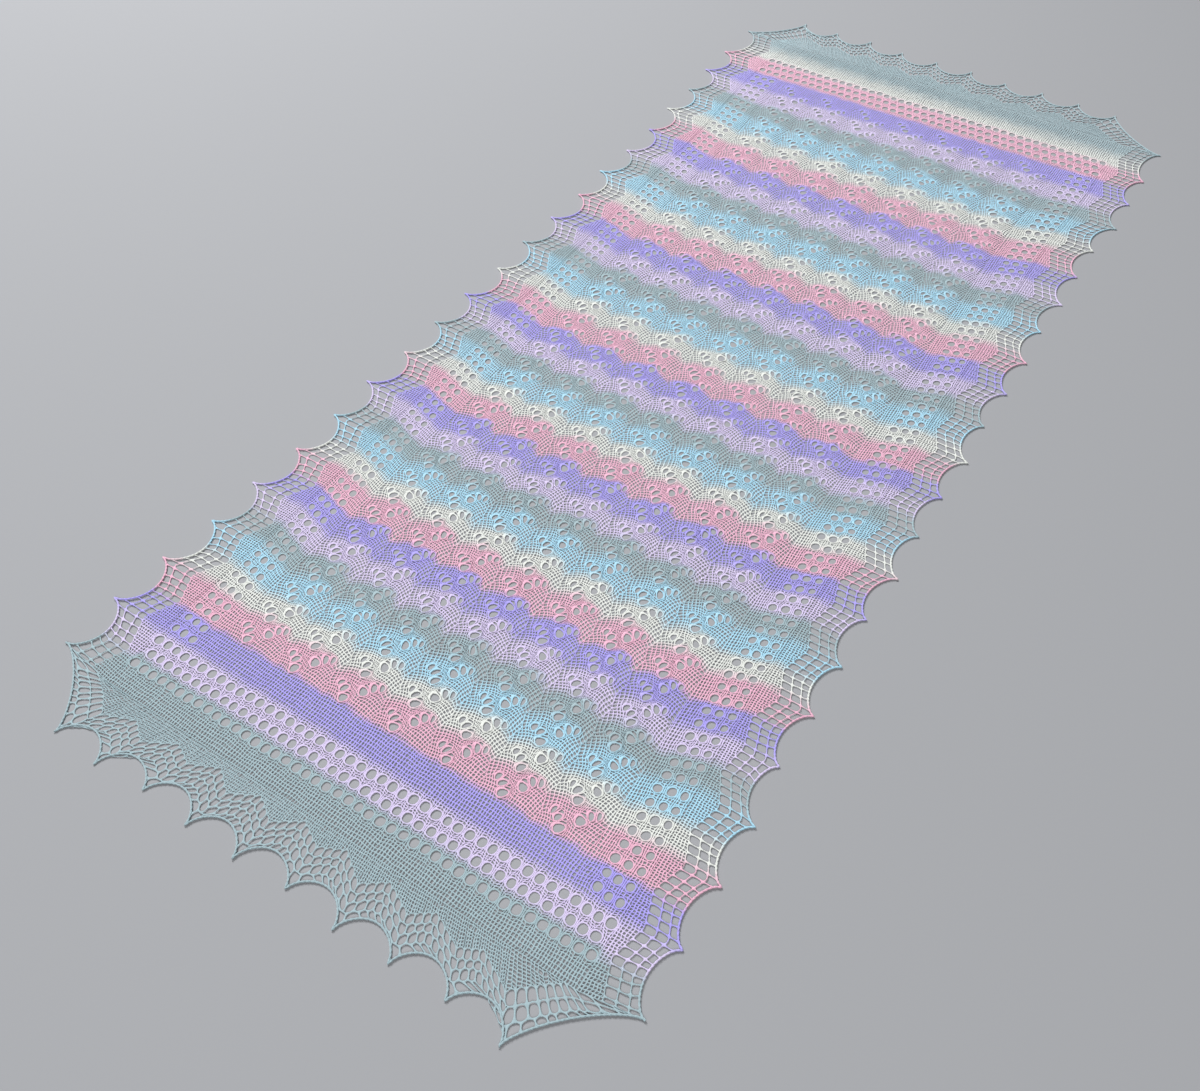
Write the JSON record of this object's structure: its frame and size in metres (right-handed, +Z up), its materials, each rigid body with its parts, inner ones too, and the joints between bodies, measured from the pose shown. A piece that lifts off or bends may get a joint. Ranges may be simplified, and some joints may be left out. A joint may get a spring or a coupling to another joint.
{
  "type": "lace shawl laid flat",
  "caption": "Rectangular knitted lace shawl laid flat, with an all-over lace centre, eyelet borders and a scalloped mesh edging.",
  "frame": {"origin": "middle of the shawl's box on the surface that it lies on", "axes": "+X across the shawl, +Y along it towards the far end in the picture, +Z up out of the surface"},
  "size_m": [0.7242, 1.707, 0.0012],
  "materials": {
    "lace_centre": "fine soft wool, striped in pink, off-white, light blue, grey-teal, pale lilac and violet",
    "side_border": "fine soft wool, in the stripes of the centre",
    "end_border": "fine soft wool, grey-teal, pale lilac-pink and off-white",
    "side_edging": "fine soft wool mesh, in the stripes of the centre",
    "end_edging": "fine soft wool mesh, grey-teal"
  },
  "bodies": {
    "root": {"centre": "lace_centre", "side_border_left": "side_border", "side_border_right": "side_border", "end_border_near": "end_border", "end_border_far": "end_border", "edging_left": "side_edging", "edging_right": "side_edging", "edging_near": "end_edging", "edging_far": "end_edging"}
  },
  "joints": []
}
